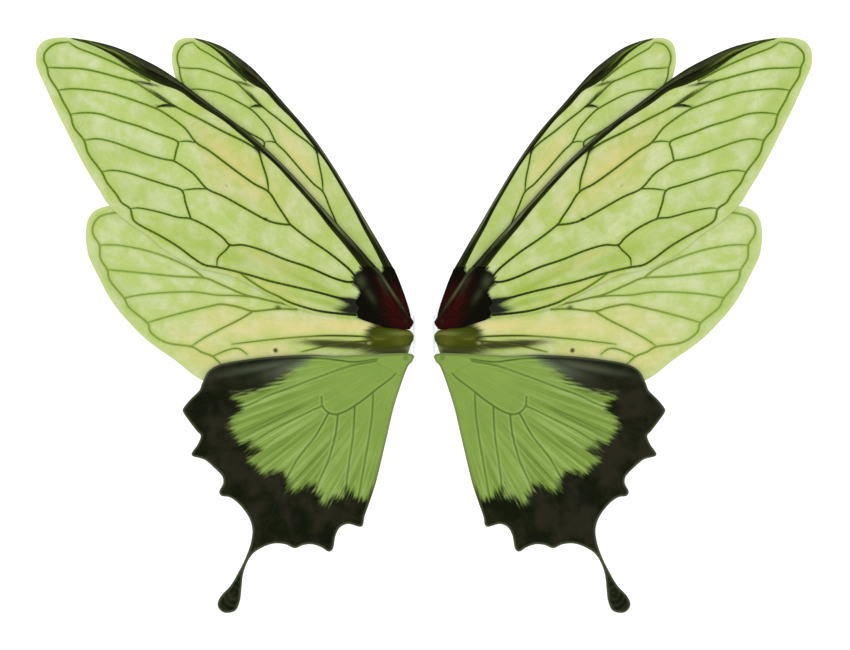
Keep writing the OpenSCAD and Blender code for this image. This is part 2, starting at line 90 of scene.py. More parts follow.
# Each vein: width at the first point, width at the last point, then the points.
FORE_VEINS = [
    (2.4, 4.5, [(462, 381), (480, 378), (492, 368), (494, 358), (490, 348), (487, 335), (476, 318),
                (470, 305), (460, 287), (455, 270), (442, 253), (436, 235), (419, 212), (412, 198),
                (400, 183), (393, 172), (382, 164), (378, 150), (368, 142), (345, 130), (320, 115),
                (300, 100), (285, 91), (268, 88), (250, 84), (220, 76), (200, 70), (170, 63), (140, 56),
                (110, 48), (84, 42)]),
    (2, 3, [(462, 381), (450, 373), (429, 365), (405, 355), (380, 343), (356, 330)]),
    (2, 4, [(490, 348), (470, 347), (445, 346), (420, 341), (395, 334), (375, 328), (350, 312),
            (335, 303), (323, 297), (310, 290), (290, 280), (260, 264), (235, 252), (215, 240)]),
    (2, 4, [(476, 318), (460, 320), (440, 319), (410, 315), (380, 306), (350, 295), (340, 290),
            (325, 280), (310, 268), (296, 250), (280, 240), (260, 225), (240, 210), (220, 196), (202, 186),
            (190, 168), (178, 150), (173, 143), (150, 125), (125, 108), (100, 88), (90, 77)]),
    (4, 4, [(323, 297), (336, 299), (350, 295)]),
    (2, 3, [(460, 287), (440, 289), (420, 287), (400, 280), (370, 271), (350, 263), (335, 258),
            (320, 251), (322, 240), (325, 226)]),
    (2, 2, [(296, 250), (308, 252), (320, 251)]),
    (2, 3.5, [(442, 253), (425, 255), (405, 251), (380, 242), (355, 233), (335, 228), (325, 226),
              (310, 217), (298, 208), (282, 190), (260, 180), (235, 166), (206, 150), (190, 145),
              (173, 143)]),
    (2, 3, [(419, 212), (405, 214), (385, 211), (360, 203), (335, 195), (315, 188), (310, 172),
            (303, 151)]),
    (2, 2, [(282, 190), (298, 190), (315, 188)]),
    (2, 4.5, [(382, 164), (370, 165), (345, 160), (320, 153), (303, 151), (280, 140), (262, 127),
              (252, 117), (235, 117), (210, 110), (180, 98), (150, 88), (120, 75), (100, 69), (88, 70)]),
    (2.5, 2, [(252, 117), (258, 110), (268, 100), (269, 88)]),
    (3, 2.5, [(215, 240), (210, 222), (204, 203), (202, 186)]),
    (1.8, 6, [(240, 81), (222, 68), (205, 57.5), (188, 49.5), (172, 41.5), (140, 32), (112, 28), (88, 26)]),
]

HIND_OUTLINE = [(14, 1), (20, 6.5), (34, 10), (60, 20), (100, 42), (150, 70), (200, 97), (245, 122),
                (262, 133), (300, 149), (350, 153), (385, 159), (405, 168), (426, 163), (437, 150),
                (440, 130), (438, 110), (434, 97), (421, 71), (407, 45), (387, 20), (360, -7), (325, -32),
                (290, -58), (250, -68), (200, -62), (130, -45), (60, -33.5), (40, -29.5), (36, -25),
                (33, -23.5), (24, -25.4), (21, -24.8), (18.5, -17), (16, -10), (13.6, -5)]
HIND_ROOT = [(14, 1), (20, 6.5), (34, 9.5), (50, 10.5), (62, 10), (70, 5), (64, 1), (72, -2), (66, -6),
             (76, -11), (62, -15.5), (45, -16.5), (34, -14.5), (24, -13.5), (16, -10), (13.6, -5)]
HIND_VEINS = [
    (2.4, 2.4, [(395, 160), (420, 155), (430, 143), (430, 130), (422, 117), (421, 100), (412, 85),
                (408, 70), (390, 48), (383, 35), (360, 16), (355, 3), (335, -10), (303, -15), (290, -22),
                (275, -28), (262, -40)]),
    (2, 2.5, [(422, 117), (400, 117), (370, 112), (345, 105), (320, 95), (300, 85), (287, 75)]),
    (2, 4, [(412, 85), (380, 82), (350, 79), (320, 76), (285, 74), (265, 66), (235, 53), (215, 48),
            (190, 42), (165, 37), (148, 31)]),
    (2, 2, [(390, 48), (370, 52), (340, 55), (300, 56), (270, 52), (240, 51), (215, 48)]),
    (2, 3.5, [(360, 16), (340, 22), (310, 30), (280, 37), (263, 40), (240, 36), (222, 31), (190, 34),
              (165, 33)]),
    (2, 2.5, [(303, -15), (285, -3), (260, 10), (240, 20), (222, 31)]),
    (2, 2, [(275, -28), (262, -22), (250, -18), (240, -18), (230, -25)]),
    (1.6, 3, [(250, -12), (190, -5), (130, -1), (74, -2)]),
    (2.5, 4, [(160, -22), (120, -13), (90, -9), (70, -8)]),
]

TAIL_OUTLINE = [(14.2, -25.6), (26, -23.6), (40, -23.8), (85, -26), (115, -27), (150, -25.5), (200, -28),
                (240, -33), (265, -38), (280, -47), (288, -62), (292, -72), (303, -83), (312, -94),
                (313, -100), (305, -112), (295, -125), (290, -131), (294, -142), (302, -156), (285, -162),
                (270, -175), (262, -184), (261, -193), (266, -203), (263, -209), (252, -211), (240, -220),
                (228, -236), (223, -252), (225, -270), (232, -290), (241, -308), (251, -325), (263, -338),
                (268, -348), (266, -356), (258, -361), (245, -358), (239, -345), (237, -328), (235, -311),
                (230, -296), (222, -284), (210, -276), (195, -271), (180, -272), (168, -277), (157, -273),
                (145, -272), (133, -276), (124, -281.5), (118, -277), (115, -261), (109, -250),
                (98, -245.5), (81, -249), (77, -235), (70, -215), (62, -190), (50, -140), (40, -97),
                (30, -65), (21, -41), (15, -34)]
TAIL_ROOT = [(14.2, -26.2), (40, -26), (58, -28.5), (64, -33), (58, -39), (47, -44), (38, -51), (30, -52),
             (22.5, -42), (16, -34)]
TAIL_VEINS = [
    (4, 1.5, [(60, -31), (90, -35), (110, -33), (140, -30), (190, -32), (240, -38)]),
    (2, 1.2, [(62, -34), (95, -40), (130, -52), (165, -65), (200, -78), (232, -93)]),
    (4, 3, [(36, -49), (45, -58), (60, -69), (80, -85), (100, -98), (115, -103), (125, -100), (132, -92),
            (133, -80)]),
    (2.4, 1.2, [(133, -92), (160, -105), (200, -125), (235, -148)]),
    (2.4, 1.2, [(124, -101), (140, -130), (160, -155), (175, -180), (195, -225), (208, -262)]),
    (2.4, 1.2, [(112, -103), (115, -130), (125, -165), (140, -200), (150, -250)]),
    (2, 1.2, [(90, -92), (92, -130), (98, -170), (104, -225)]),
    (2, 1.2, [(66, -76), (68, -110), (76, -160), (86, -215)]),
]
# Where the tail wing's green centre gives way to its dark border.
TAIL_GREEN = [(10, -20), (60, -20), (120, -24), (145, -30), (165, -42), (185, -58), (215, -72), (247, -80),
              (235, -93), (250, -110), (250, -122), (240, -136), (226, -141), (213, -149), (228, -160),
              (218, -171), (205, -179), (183, -177), (176, -190), (171, -206), (160, -198), (142, -196),
              (131, -219), (118, -210), (105, -210), (99, -196), (90, -209), (68, -207), (40, -140),
              (10, -60)]

# Soft patches of colour on the films: x, z, radius along, radius across, tilt in degrees, strength.
FORE_WARM = [(245, 222, 70, 20, 40, 0.7), (225, 200, 55, 20, 40, 0.5), (262, 196, 40, 16, 35, 0.3),
             (205, 60, 70, 9, 22, 0.5), (200, 95, 60, 8, 25, 0.45)]
FORE_LUSH = [(140, 64, 70, 6, 26, 1.0), (125, 41, 50, 5, 14, 0.9), (170, 84, 80, 6, 24, 0.6),
             (250, 103, 60, 12, 20, 0.5), (470, 330, 80, 10, 62, 0.6), (440, 250, 60, 10, 58, 0.6),
             (350, 310, 28, 9, 30, 1.0), (424, 369.5, 46, 6, 28, 1.0), (470, 380, 20, 5, 5, 0.5),
             (390, 240, 50, 18, 20, 0.35), (380, 190, 60, 20, 25, 0.35), (330, 280, 60, 14, 30, 0.4)]
FORE_DUSK = [(360, 327, 24, 2.6, 12, 0.75), (341, 309, 26, 2.6, 33, 0.75), (336, 297.5, 16, 2.2, 3, 0.8),
             (385, 350, 30, 3, 34, 0.6), (215, 240, 9, 5, 40, 0.6), (94, 44, 20, 5, 10, 1.0),
             (88, 37, 20, 12, 8, 1.0), (92, 32, 24, 6, 6, 1.0), (206, 151, 4, 2.5, 0, 0.7),
             (257, 194, 5, 2, 40, 0.45)]
FORE_FRESH = [(212, 61, 52, 6.5, 29, 1.0)]
HIND_WARM = [(170, 8, 110, 16, 3, 0.75), (240, 10, 60, 24, 10, 0.6), (285, -25, 50, 22, 30, 0.65),
             (215, -20, 60, 12, 0, 0.65), (100, 12, 60, 9, 4, 1.0)]
HIND_LUSH = [(110, -19, 60, 4, 5, 0.9), (400, 60, 60, 12, 55, 0.5), (330, 150, 80, 8, 3, 0.6),
             (200, 60, 60, 10, 20, 0.5), (95, -5, 40, 3, 2, 0.8)]
HIND_DUSK = [(106, -12.5, 60, 6, 4, 1.0), (50, -18, 40, 9, 0, 1.0), (193, -20, 3.5, 3.5, 0, 0.9),
             (190, 36, 6, 4, 0, 0.6), (38, -21, 26, 6, 0, 1.0), (110, -1, 36, 1.6, 1, 0.7)]


# ------------------------------ curves and distances

# Steps between neighbouring points of a curve: for the blades' outlines, for roots and spar edges, and for
# lines that only a distance is taken from.
OUTLINE_STEPS, ROOT_STEPS, VEIN_STEPS = 6, 4, 3
HOLE_SIDES = 24
# How far the filling points keep from the rim, as a share of their spacing.
RIM_CLEAR = 0.55


def smooth(points, steps, closed=False):
    """A Catmull-Rom curve through the points, with this many steps between neighbours."""
    p = np.array(points, float)
    if closed:
        before, after, later = np.roll(p, 1, 0), np.roll(p, -1, 0), np.roll(p, -2, 0)
        here = p
    else:
        last = len(p) - 1
        index = np.arange(last)
        before, here = p[np.maximum(index - 1, 0)], p[index]
        after, later = p[index + 1], p[np.minimum(index + 2, last)]
    t = (np.arange(steps) / steps)[None, :, None]
    b, h, a, n = (q[:, None, :] for q in (before, here, after, later))
    curve = 0.5 * (2 * h + (a - b) * t + (2 * b - 5 * h + 4 * a - n) * t ** 2
                   + (3 * h - b - 3 * a + n) * t ** 3)
    curve = curve.reshape(-1, 2)
    return curve if closed else np.vstack([curve, p[-1]])


def resample(path, spacing, closed=False):
    """The path with points this far apart."""
    if closed:
        path = np.vstack([path, path[0]])
    steps = np.linalg.norm(np.diff(path, axis=0), axis=1)
    along = np.concatenate([[0], np.cumsum(steps)])
    count = max(2, int(round(along[-1] / spacing)) + 1)
    wanted = np.linspace(0, along[-1], count)
    made = np.stack([np.interp(wanted, along, path[:, k]) for k in (0, 1)], 1)
    return made[:-1] if closed else made


def distance_to(points, path, closed=False):
    """The distance of each point from a path."""
    if closed:
        path = np.vstack([path, path[0]])
    start, step = path[:-1], np.diff(path, axis=0)
    square = np.maximum((step ** 2).sum(1), 1e-9)
    best = np.full(len(points), np.inf)
    for s, d, q in zip(start, step, square):
        offset = points - s
        t = np.clip(offset @ d / q, 0, 1)
        best = np.minimum(best, ((offset - t[:, None] * d) ** 2).sum(1))
    return np.sqrt(best)


def inside(points, outline):
    """Whether each point is inside a closed outline."""
    x, z = points[:, 0], points[:, 1]
    result = np.zeros(len(points), bool)
    for (x0, z0), (x1, z1) in zip(outline, np.roll(outline, -1, 0)):
        if z0 == z1:
            continue
        crosses = (z0 > z) != (z1 > z)
        result ^= crosses & (x < (x1 - x0) * (z - z0) / (z1 - z0) + x0)
    return result


def circle(centre, radius):
    """Points round a hole."""
    turns = np.arange(HOLE_SIDES) * 2 * math.pi / HOLE_SIDES
    return np.array(centre) + radius * np.stack([np.cos(turns), np.sin(turns)], 1)


def lattice(outline, spacing, pivot):
    """Points and triangles that fill an outline round its rivet hole, and the edges of rim and hole."""
    rim, hole = resample(outline, spacing, closed=True), circle(pivot, HOLE_R)
    low, high = rim.min(0), rim.max(0)
    rows = np.arange(low[1], high[1], spacing * math.sqrt(3) / 2)
    columns = np.arange(low[0], high[0], spacing)
    grid = np.vstack([np.stack([columns + (k % 2) * spacing / 2, np.full(len(columns), z)], 1)
                      for k, z in enumerate(rows)])
    grid = grid[inside(grid, rim)]
    grid = grid[distance_to(grid, rim, closed=True) > spacing * RIM_CLEAR]
    grid = grid[np.linalg.norm(grid - np.array(pivot), axis=1) > HOLE_R + spacing * RIM_CLEAR]
    bored = inside(np.array([pivot]), rim)[0]
    points = np.vstack([rim, hole, grid] if bored else [rim, grid])
    loops = [range(len(rim))] + ([range(len(rim), len(rim) + len(hole))] if bored else [])
    edges = [(k, loop[(i + 1) % len(loop)]) for loop in loops for i, k in enumerate(loop)]
    made = delaunay_2d_cdt([Vector(p) for p in points], edges, [], 1, 1e-5)
    flat = np.array([tuple(v) for v in made[0]])
    faces = [tuple(f) for f in made[2]]
    middles = np.array([flat[list(f)].mean(0) for f in faces])
    kept = np.linalg.norm(middles - np.array(pivot), axis=1) > HOLE_R
    return flat, [f for f, keep in zip(faces, kept) if keep], edges


def rear_x(x):
    """Where the front forewing's x lies on the narrower rear forewing."""
    return REAR_SHARE * x + (1 - REAR_SHARE) * ROOT_WIDTH * np.exp((ROOT_WIDTH - x) / ROOT_BLEND)


def narrowed(points, rear):
    """The points as an array, narrowed if they are for the rear forewing."""
    made = np.array(points, float)
    if rear:
        made[:, 0] = rear_x(made[:, 0])
    return made


def patches(points, spots):
    """How strongly soft elliptical patches colour each point, from 0 to 1."""
    total = np.zeros(len(points))
    for x, z, along, across, tilt, strength in spots:
        c, s = math.cos(math.radians(tilt)), math.sin(math.radians(tilt))
        dx, dz = points[:, 0] - x, points[:, 1] - z
        u, v = (dx * c + dz * s) / along, (dz * c - dx * s) / across
        total = np.maximum(total, strength * np.exp(-(u * u + v * v)))
    return np.clip(total, 0, 1)


# ------------------------------ pieces

# The thickness at a pad's edge, as a share of its full thickness.
EDGE_THICKNESS = 0.35
# A vein's tube has this many sides. Past PLAIN_HALF its half width counts for only WIDE_SHARE.
RING = 10
PLAIN_HALF, WIDE_SHARE = 1.2, 0.3
# How unevenly a vein is drawn: the share of its width, and how fast that changes from point to point.
UNEVEN, UNEVEN_TURN = 0.08, 1.9
# A vein has its full rise at this half width, and at most RISE_MOST times that where it is wider.
RISE_HALF, RISE_MOST = 1.3, 1.15
# The share of its width that a vein keeps at its thin end, and the number of points over which it tapers.
TAPER_END, TAPER_POINTS = 0.45, 5


def add_mesh(name, points, faces, fields, material):
    """A mesh object from points in mm, with its named numbers kept on the vertices for its material."""
    mesh = bpy.data.meshes.new(name)
    mesh.from_pydata([tuple(p * MM) for p in points], [], faces)
    for field, values in fields.items():
        mesh.attributes.new(field, "FLOAT", "POINT").data.foreach_set("value", values.astype(np.float32))
    mesh.polygons.foreach_set("use_smooth", [True] * len(faces))
    mesh.materials.append(material)
    mesh.update()
    obj = bpy.data.objects.new(name, mesh)
    bpy.context.scene.collection.objects.link(obj)
    return obj


def add_pair(shape, node, material):
    """The right-hand piece and its mirror image, each riding on its blade and standing for its CAD node."""
    points, faces, fields = shape
    blade = next(b for b in BLADES if node.startswith(b))
    for side, sign in SIDES.items():
        placed = points * np.array([sign, 1, 1])
        turned = faces if sign > 0 else [f[::-1] for f in faces]
        obj = add_mesh(f"{side}_{node}_skin", placed, turned, fields, material)
        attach(obj, f"{side}_{blade}")
        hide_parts(f"{side}_{node}")


def depth(node):
    """The front and back of a right-hand CAD node, in mm along Y; the front is towards -Y."""
    low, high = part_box("right_" + node)
    return low.y / MM, high.y / MM


def sheet_shape(outline, spacing, y, relief, fields, pivot):
    """A single sheet that fills the outline, with its surface raised towards -Y by relief."""
    flat, faces, _ = lattice(outline, spacing, pivot)
    values = fields(flat)
    heights = y - relief(flat, values)
    return np.stack([flat[:, 0], heights, flat[:, 1]], 1), facing_front(faces, flat), values


def facing_front(faces, flat):
    """The faces wound so that their normals point towards -Y."""
    made = []
    for a, b, c in faces:
        (ax, az), (bx, bz), (cx, cz) = flat[a], flat[b], flat[c]
        turn = (bx - ax) * (cz - az) - (bz - az) * (cx - ax)
        made.append((a, b, c) if turn > 0 else (a, c, b))
    return made


def pad_shape(outline, spacing, front, back, roundness, fields, pivot):
    """A closed flat piece with a rounded front edge, a domed face and a hole for its rivet."""
    flat, faces, edges = lattice(outline, spacing, pivot)
    edge = distance_to(flat, resample(outline, spacing, closed=True), closed=True)
    share = np.clip(edge / roundness, 0, 1)
    dome = np.sqrt(1 - (1 - share) ** 2)
    front_y = back + (front - back) * (EDGE_THICKNESS + (1 - EDGE_THICKNESS) * dome)
    count = len(flat)
    front_points = np.stack([flat[:, 0], front_y, flat[:, 1]], 1)
    back_points = np.stack([flat[:, 0], np.full(count, back), flat[:, 1]], 1)
    walls = [(k, n, n + count, k + count) for k, n in edges]
    points = np.vstack([front_points, back_points])
    all_faces = faces + [tuple(k + count for k in f[::-1]) for f in faces] + walls
    values = {name: np.concatenate([v, v]) for name, v in fields(flat).items()}
    return points, outward(points, all_faces), values


def taper(count, first, last):
    """A rib's width as a share of its full width: it tapers away at its thinner end."""
    steps = np.arange(count)
    end = steps if first < last else steps[::-1]
    return TAPER_END + (1 - TAPER_END) * np.clip(end / TAPER_POINTS, 0, 1)


def tube_shape(veins, rear, y, front_rise, back_rise, spacing, fields, wide, lift=None):
    """Flattened tapered tubes along a vein network, half sunk in the film, or in a film raised by lift."""
    points, faces, flat_points = [], [], []
    for first, last, route in veins:
        path = resample(narrowed(smooth(route, 6), rear), spacing)
        tangent = np.gradient(path, axis=0)
        tangent /= np.linalg.norm(tangent, axis=1)[:, None]
        across = np.stack([-tangent[:, 1], tangent[:, 0]], 1)
        share = np.linspace(0, 1, len(path))
        half = (first + (last - first) * share) / 2
        half = (np.minimum(half, PLAIN_HALF) + WIDE_SHARE * np.maximum(half - PLAIN_HALF, 0)) * wide
        wobble = 1 + UNEVEN * np.sin(np.arange(len(path)) * UNEVEN_TURN)
        half = half * wobble * taper(len(path), first, last)
        base = y - (lift(path) if lift else np.zeros(len(path)))
        start = len(points)
        for p, n, h, here in zip(path, across, half, base):
            for k in range(RING):
                turn = 2 * math.pi * k / RING
                x, z = p + n * h * math.cos(turn)
                full_rise = front_rise if math.sin(turn) > 0 else back_rise
                rise = math.sin(turn) * full_rise * min(RISE_MOST, h / RISE_HALF)
                points.append((x, here - rise, z))
                flat_points.append(p)
        for i in range(len(path) - 1):
            for k in range(RING):
                a, b = start + i * RING + k, start + i * RING + (k + 1) % RING
                faces.append((a, b, b + RING, a + RING))
        faces.append(tuple(start + k for k in range(RING))[::-1])
        end = start + (len(path) - 1) * RING
        faces.append(tuple(end + k for k in range(RING)))
    mesh_points = np.array(points)
    return mesh_points, outward(mesh_points, faces), fields(np.array(flat_points))


def outward(points, faces):
    """The faces wound outwards, by Blender's own normals."""
    bm = bmesh.new()
    verts = [bm.verts.new(p) for p in points]
    for f in faces:
        bm.faces.new([verts[k] for k in f])
    bm.verts.index_update()
    bmesh.ops.recalc_face_normals(bm, faces=bm.faces)
    made = [tuple(v.index for v in f.verts) for f in bm.faces]
    bm.free()
    return made


# ------------------------------ materials

def rgb(red, green, blue):
    """A colour as seen on a screen, 0 to 255, in the linear numbers that shaders use."""
    made = []
    for value in (red, green, blue):
        v = value / 255
        made.append(v / 12.92 if v <= 0.04045 else ((v + 0.055) / 1.055) ** 2.4)
    return (*made, 1)


# How opaque the films are, and how much light their gloss adds.
FILM_ALPHA = 0.96
FILM_GLOSS = 0.02


def film_rgb(red, green, blue):
    """The colour of a film that looks like this with white showing through it."""
    seen = rgb(red, green, blue)[:3]
    return (*(max(0.0, (v - (1 - FILM_ALPHA) - FILM_GLOSS) / FILM_ALPHA) for v in seen), 1)


class Nodes:
    """A short way to write a material's node tree."""

    def __init__(self, name):
        self.material = bpy.data.materials.new(name)
        self.material.use_nodes = True
        self.tree = self.material.node_tree
        self.shader = self.tree.nodes["Principled BSDF"]

    def link(self, value, socket):
        if isinstance(value, bpy.types.NodeSocket):
            self.tree.links.new(value, socket)
        else:
            socket.default_value = value

    def node(self, kind, **settings):
        made = self.tree.nodes.new(kind)
        for key, value in settings.items():
            setattr(made, key, value)
        return made

    def field(self, name):
        return self.node("ShaderNodeAttribute", attribute_name=name).outputs["Fac"]

    def place(self, scale=(1, 1, 1)):
        """The point on the object, in mm, stretched by scale."""
        coordinates = self.node("ShaderNodeTexCoord")
        mapping = self.node("ShaderNodeMapping")
        mapping.inputs["Scale"].default_value = [1000 * s for s in scale]
        self.link(coordinates.outputs["Object"], mapping.inputs["Vector"])
        return mapping.outputs["Vector"]

    def noise(self, place, scale, detail=3, roughness=0.5, distortion=0):
        made = self.node("ShaderNodeTexNoise")
        self.link(place, made.inputs["Vector"])
        made.inputs["Scale"].default_value = scale
        made.inputs["Detail"].default_value = detail
        made.inputs["Roughness"].default_value = roughness
        made.inputs["Distortion"].default_value = distortion
        return made.outputs["Fac"]

    def rays(self, across, along, detail, roughness, seed=0.0):
        """Streaks that fan out from a pivot: how many to a tenth of a radian, and to a mm of reach."""
        place = self.combine(self.times(self.field("ray"), across),
                             self.times(self.field("reach"), along), seed)
        return self.noise(place, 1.0, detail, roughness)

    def math(self, operation, a, b=0.0, clamp=False):
        made = self.node("ShaderNodeMath", operation=operation, use_clamp=clamp)
        self.link(a, made.inputs[0])
        self.link(b, made.inputs[1])
        return made.outputs[0]

    def times(self, a, b):
        return self.math("MULTIPLY", a, b)

    def plus(self, a, b):
        return self.math("ADD", a, b)

    def sway(self, value, amount):
        """A noise value turned into a shift either way."""
        return self.times(self.math("SUBTRACT", value, 0.5), amount)

    def between(self, value, low, high, at_low=0.0, at_high=1.0):
        """at_low to at_high, smoothly, as the value goes from low to high."""
        made = self.node("ShaderNodeMapRange", interpolation_type="SMOOTHSTEP")
        for socket, number in zip(("Value", "From Min", "From Max", "To Min", "To Max"),
                                  (value, low, high, at_low, at_high)):
            self.link(number, made.inputs[socket])
        return made.outputs["Result"]

    def near(self, value, centre, low, high):
        """1 where the value is within low of the centre, down to 0 where it is high away."""
        return self.between(self.math("ABSOLUTE", self.math("SUBTRACT", value, centre)), low, high, 1.0, 0.0)

    def mix(self, share, a, b):
        """The colour a, with this share of the colour b. A mix node's colours are inputs 6 and 7 and output 2."""
        made = self.node("ShaderNodeMix", data_type="RGBA")
        self.link(share, made.inputs["Factor"])
        self.link(a, made.inputs[6])
        self.link(b, made.inputs[7])
        return made.outputs[2]

    def combine(self, x, y, z):
        made = self.node("ShaderNodeCombineXYZ")
        for socket, value in zip("XYZ", (x, y, z)):
            self.link(value, made.inputs[socket])
        return made.outputs[0]

    def bump(self, height, strength, distance):
        made = self.node("ShaderNodeBump")
        made.inputs["Strength"].default_value = strength
        made.inputs["Distance"].default_value = distance
        self.link(height, made.inputs["Height"])
        self.link(made.outputs["Normal"], self.shader.inputs["Normal"])

    def set(self, **values):
        for name, value in values.items():
            self.link(value, self.shader.inputs[name.replace("_", " ")])


def film_material(name, shadow, foot_fade):
    """Translucent pale green film, greener beside the veins and darkening into its root, finely crinkled."""
    n = Nodes(name)
    place = n.place()
    mottle = n.noise(place, 0.04, 4, 0.6, 0.4)
    grain = n.noise(place, 0.5, 5, 0.7)
    streak = n.rays(4.0, 0.03, 4, 0.65)
    beside = n.between(n.field("vein"), 0.8, 8.0, 1.0, 0.0)
    close = n.between(n.field("vein"), 0.4, 3.0, 1.0, 0.0)
    colour = n.mix(n.between(mottle, 0.35, 0.68), film_rgb(180, 200, 112), film_rgb(203, 213, 160))
    colour = n.mix(n.times(n.between(streak, 0.45, 0.68), 0.42), colour, film_rgb(180, 198, 100))
    pale_streak = n.between(streak, 0.3, 0.46, 1.0, 0.0)
    colour = n.mix(n.times(pale_streak, 0.22), colour, film_rgb(214, 222, 176))
    colour = n.mix(n.times(n.field("warm"), n.between(mottle, 0.2, 0.6, 0.55, 0.95)),
                   colour, film_rgb(224, 206, 136))
    colour = n.mix(n.times(n.field("lush"), 0.8), colour, film_rgb(150, 178, 56))
    colour = n.mix(n.times(beside, 0.45), colour, film_rgb(170, 194, 88))
    colour = n.mix(n.times(close, 0.7), colour, film_rgb(136, 168, 44))
    rim = n.between(n.field("rim"), 1.0, 7.0, 1.0, 0.0)
    colour = n.mix(n.times(rim, 0.6), colour, film_rgb(196, 210, 140))
    colour = n.mix(n.between(grain, 0.3, 0.75, 0.0, 0.14), colour, film_rgb(226, 232, 200))
    dusk = n.math("MULTIPLY", n.field("dusk"), n.between(streak, 0.3, 0.6, 0.85, 1.15), clamp=True)
    foot = n.plus(n.field("foot"), n.sway(streak, 16.0))
    dark = n.math("MAXIMUM", n.between(dusk, 0.12, 0.85), n.between(foot, 0.0, foot_fade, 1.0, 0.0))
    colour = n.mix(dark, colour, shadow)
    wave = n.noise(place, 0.12, 3, 0.5)
    crease = n.plus(n.plus(n.times(grain, 0.35), n.times(wave, 0.9)), n.times(beside, 0.5))
    n.bump(crease, 0.35, 0.0006)
    n.set(Base_Color=colour, Roughness=n.between(grain, 0.2, 0.8, 0.34, 0.5),
          Alpha=n.between(dark, 0.1, 0.8, FILM_ALPHA, 1.0), Specular_IOR_Level=0.2)
    return n.material


def vein_material(name, outer, middle, root):
    """Moulded veins, olive green and darker towards the root."""
    n = Nodes(name)
    grain = n.noise(n.place(), 0.35, 4, 0.65)
    colour = n.mix(n.between(n.field("age"), 0.0, 0.5), outer, middle)
    colour = n.mix(n.between(n.field("age"), 0.68, 1.0), colour, root)
    colour = n.mix(n.between(grain, 0.4, 0.75, 0.0, 0.3), colour, root)
    colour = n.mix(n.between(n.field("dusk"), 0.1, 0.6), colour, root)
    n.bump(grain, 0.3, 0.0003)
    n.set(Base_Color=colour, Roughness=n.between(grain, 0.3, 0.7, 0.42, 0.6), Specular_IOR_Level=0.15)
    return n.material


def spar_material():
    """The leading edge: near black with olive streaks, and a painted highlight: a paler band along its leading
    side, where light would catch a round spar.
    """
    n = Nodes("spar_plastic")
    along, bank = n.field("along"), n.field("bank")
    streak = n.noise(n.combine(n.times(along, 0.03), n.times(bank, 5.0), 0.0), 1.0, 5, 0.7)
    grain = n.noise(n.place(), 0.6, 4, 0.7)
    wander = n.plus(0.24, n.sway(streak, 0.3))
    # Painted highlight: a paler band along the leading side, where light would catch the round spar; faint near
    # the root, full from 60 to 120 mm along, weaker towards the tip.
    painted_highlight = n.times(n.near(bank, wander, 0.04, 0.26), n.between(along, 120, 300, 1.0, 0.25))
    painted_highlight = n.times(painted_highlight, n.between(along, 8, 60, 0.12, 1.0))
    window = n.times(n.near(bank, 0.55, 0.04, 0.2), n.between(along, 370, 430))
    colour = n.mix(n.between(streak, 0.4, 0.7), rgb(12, 14, 2), rgb(40, 48, 12))
    colour = n.mix(n.times(n.between(bank, 0.7, 0.95), 0.5), colour, rgb(52, 64, 14))
    # Painted highlight: the pale band along the leading side, broken by the streaks.
    colour = n.mix(n.times(painted_highlight, n.between(streak, 0.3, 0.6, 0.5, 1.0)), colour, rgb(104, 110, 76))
    colour = n.mix(n.times(window, n.between(streak, 0.35, 0.6, 0.3, 0.9)), colour, rgb(118, 138, 56))
    colour = n.mix(n.between(along, 430, 520), colour, rgb(78, 96, 26))
    n.bump(n.plus(streak, n.times(grain, 0.3)), 0.4, 0.0005)
    n.set(Base_Color=colour, Roughness=n.between(grain, 0.3, 0.7, 0.5, 0.65), Specular_IOR_Level=0.04)
    return n.material


def root_material(name, dark, warm, bright, pale):
    """A root plate with fibres that run out from its pivot, a warm heart and paler spots."""
    n = Nodes(name)
    fibre = n.rays(3.2, 0.05, 5, 0.7)
    grain = n.noise(n.place(), 0.5, 4, 0.7)
    glow = n.times(n.field("glow"), n.between(fibre, 0.34, 0.6, 0.15, 1.0))
    colour = n.mix(n.between(glow, 0.05, 0.7), dark, warm)
    colour = n.mix(n.times(glow, n.between(fibre, 0.54, 0.7)), colour, bright)
    colour = n.mix(n.times(n.field("spots"), n.between(fibre, 0.3, 0.6, 0.45, 1.0)), colour, pale)
    n.bump(n.plus(fibre, n.times(grain, 0.25)), 0.5, 0.0008)
    n.set(Base_Color=colour, Roughness=n.between(grain, 0.3, 0.7, 0.5, 0.7), Specular_IOR_Level=0.04)
    return n.material


